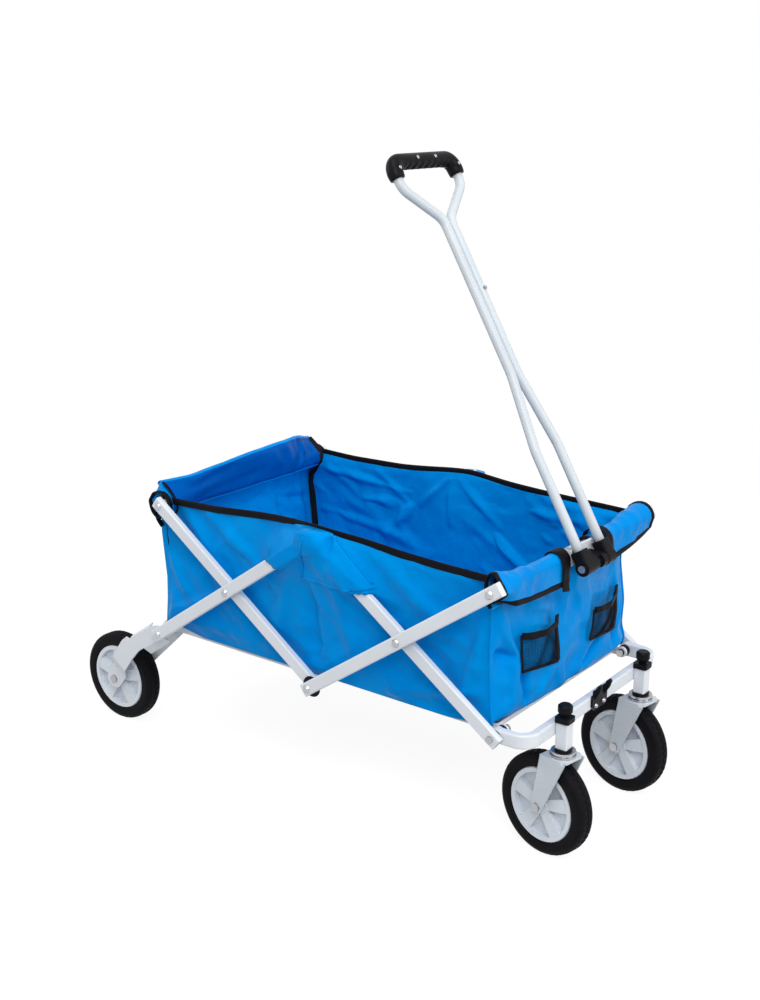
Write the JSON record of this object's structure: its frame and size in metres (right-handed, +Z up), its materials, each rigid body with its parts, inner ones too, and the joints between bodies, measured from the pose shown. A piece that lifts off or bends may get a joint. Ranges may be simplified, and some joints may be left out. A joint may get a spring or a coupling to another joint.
{
  "type": "folding wagon",
  "caption": "Folding hand-pulled wagon: scissor side links, fabric cargo bag on a folding base, swivel front casters, fixed rear wheels, swinging pull handle.",
  "frame": {"origin": "on the floor, under the centre of the bounding box", "axes": "+X towards the front, where the casters and the handle are; +Y to the left; +Z up"},
  "size_m": [1.1382, 0.538, 1.1453],
  "materials": {
    "white_paint": "white powder coat, satin",
    "rail_steel": "pale grey powder coat, satin",
    "zinc": "zinc plated, semi-bright",
    "bolt_steel": "zinc plated, dull",
    "black_plastic": "moulded nylon, fine grain",
    "hub_plastic": "moulded polypropylene, satin",
    "tyre": "moulded rubber, matt",
    "board": "hollow stiffening board, matt",
    "blue_fabric": "coated polyester, slight sheen",
    "mesh": "open black mesh",
    "grip_foam": "moulded soft grip, matt"
  },
  "bodies": {
    "front_frame": {"front_u_tube": "white_paint", "front_posts": "white_paint", "post_fittings": "black_plastic", "front_bolts": "bolt_steel", "front_washers": "black_plastic", "handle_catch": "black_plastic"},
    "lock_right": {"lock_knob_right": "black_plastic"},
    "lock_left": {"lock_knob_left": "black_plastic"},
    "caster_right": {"fork_right": "white_paint", "race_right": "zinc", "caster_axle_right": "bolt_steel"},
    "caster_left": {"fork_left": "white_paint", "race_left": "zinc", "caster_axle_left": "bolt_steel"},
    "wheel_front_right": {"hub_front_right": "hub_plastic", "tyre_front_right": "tyre"},
    "wheel_front_left": {"hub_front_left": "hub_plastic", "tyre_front_left": "tyre"},
    "links_c": {"link_c_right": "white_paint", "link_c_left": "white_paint", "pins_c": "zinc"},
    "links_d": {"link_d_right": "white_paint", "link_d_left": "white_paint", "pins_d": "zinc", "front_top_tube": "white_paint", "handle_saddle": "white_paint", "hinge_block": "black_plastic"},
    "links_b": {"link_b_right": "white_paint", "link_b_left": "white_paint", "pins_b": "zinc"},
    "links_a": {"link_a_right": "white_paint", "link_a_left": "white_paint", "pins_a": "zinc", "rear_top_tube": "white_paint"},
    "rear_frame": {"rear_bracket_right": "white_paint", "rear_bracket_left": "white_paint", "rear_cross_tube": "white_paint", "rear_axles": "bolt_steel"},
    "wheel_rear_right": {"hub_rear_right": "hub_plastic", "tyre_rear_right": "tyre"},
    "wheel_rear_left": {"hub_rear_left": "hub_plastic", "tyre_rear_left": "tyre"},
    "base_front": {"base_frame_front": "rail_steel", "base_board_front": "board", "floor_front": "blue_fabric"},
    "base_rear": {"base_frame_rear": "rail_steel", "base_board_rear": "board", "floor_rear": "blue_fabric"},
    "bag_front": {"bag_front_wall": "blue_fabric", "front_sleeve": "blue_fabric", "front_pockets": "mesh", "bag_side_right": "blue_fabric", "bag_side_left": "blue_fabric"},
    "bag_rear": {"bag_rear_wall": "blue_fabric"},
    "handle": {"handle_tube_right": "white_paint", "handle_tube_left": "white_paint", "handle_caps": "black_plastic", "handle_bolts": "bolt_steel", "grip_front": "grip_foam", "grip_back": "grip_foam"}
  },
  "joints": [
    {"name": "fold", "type": "hinge", "parent": "front_frame", "child": "links_c", "pos_m": [0.43426, 0, 0.2386], "axis": [0, 1, 0], "range_deg": [0, 42], "deforming": ["bag_side_right", "bag_side_left"]},
    {"name": "middle_front", "type": "hinge", "parent": "links_c", "child": "links_d", "pos_m": [0.25449, 0, 0.36541], "axis": [0, 1, 0], "range_deg": [-84, 0]},
    {"name": "centre_top", "type": "hinge", "parent": "links_c", "child": "links_b", "pos_m": [0.06082, 0, 0.50203], "axis": [0, 1, 0], "range_deg": [-84, 0]},
    {"name": "middle_rear", "type": "hinge", "parent": "links_b", "child": "links_a", "pos_m": [-0.13284, 0, 0.36541], "axis": [0, 1, 0], "range_deg": [0, 84]},
    {"name": "rear_pivot", "type": "hinge", "parent": "links_b", "child": "rear_frame", "pos_m": [-0.31261, 0, 0.2386], "axis": [0, 1, 0], "range_deg": [0, 42]},
    {"name": "base_front_fold", "type": "hinge", "parent": "front_frame", "child": "base_front", "pos_m": [0.43426, 0, 0.2386], "axis": [0, 1, 0], "range_deg": [0, 84]},
    {"name": "base_rear_fold", "type": "hinge", "parent": "rear_frame", "child": "base_rear", "pos_m": [-0.31261, 0, 0.2386], "axis": [0, 1, 0], "range_deg": [-84, 0]},
    {"name": "bag_front_sleeve", "type": "hinge", "parent": "links_d", "child": "bag_front", "pos_m": [0.43426, 0, 0.49223], "axis": [0, 1, 0], "range_deg": [0, 42]},
    {"name": "bag_rear_sleeve", "type": "hinge", "parent": "links_a", "child": "bag_rear", "pos_m": [-0.31261, 0, 0.49223], "axis": [0, 1, 0], "range_deg": [-42, 0]},
    {"name": "handle_swing", "type": "hinge", "parent": "links_d", "child": "handle", "pos_m": [0.47926, 0, 0.48403], "axis": [0, 1, 0], "range_deg": [0, 150]},
    {"name": "swivel_right", "type": "hinge", "parent": "front_frame", "child": "caster_right", "pos_m": [0.50976, -0.14, 0.18], "axis": [0, 0, 1], "continuous": true},
    {"name": "spin_front_right", "type": "hinge", "parent": "caster_right", "child": "wheel_front_right", "pos_m": [0.47878, -0.13426, 0.09], "axis": [0.1822, 0.9833, 0], "continuous": true},
    {"name": "spin_rear_right", "type": "hinge", "parent": "rear_frame", "child": "wheel_rear_right", "pos_m": [-0.47911, -0.205, 0.09], "axis": [0, 1, 0], "continuous": true},
    {"name": "lock_pull_right", "type": "slide", "parent": "front_frame", "child": "lock_right", "axis": [0, 0, 1], "range_m": [0, 0.006], "stiffness_N_per_m": 300, "springref_m": -0.002},
    {"name": "swivel_left", "type": "hinge", "parent": "front_frame", "child": "caster_left", "pos_m": [0.50976, 0.14, 0.18], "axis": [0, 0, 1], "continuous": true},
    {"name": "spin_front_left", "type": "hinge", "parent": "caster_left", "child": "wheel_front_left", "pos_m": [0.47878, 0.14574, 0.09], "axis": [0.1822, 0.9833, 0], "continuous": true},
    {"name": "spin_rear_left", "type": "hinge", "parent": "rear_frame", "child": "wheel_rear_left", "pos_m": [-0.47911, 0.205, 0.09], "axis": [0, 1, 0], "continuous": true},
    {"name": "lock_pull_left", "type": "slide", "parent": "front_frame", "child": "lock_left", "axis": [0, 0, 1], "range_m": [0, 0.006], "stiffness_N_per_m": 300, "springref_m": -0.002}
  ],
  "couplings": [
    {"joint": "middle_front", "follows": "fold", "ratio": -2},
    {"joint": "centre_top", "follows": "fold", "ratio": -2},
    {"joint": "middle_rear", "follows": "fold", "ratio": 2},
    {"joint": "rear_pivot", "follows": "fold", "ratio": 1},
    {"joint": "base_front_fold", "follows": "fold", "ratio": 2},
    {"joint": "base_rear_fold", "follows": "fold", "ratio": -2},
    {"joint": "bag_front_sleeve", "follows": "fold", "ratio": 1},
    {"joint": "bag_rear_sleeve", "follows": "fold", "ratio": -1}
  ]
}
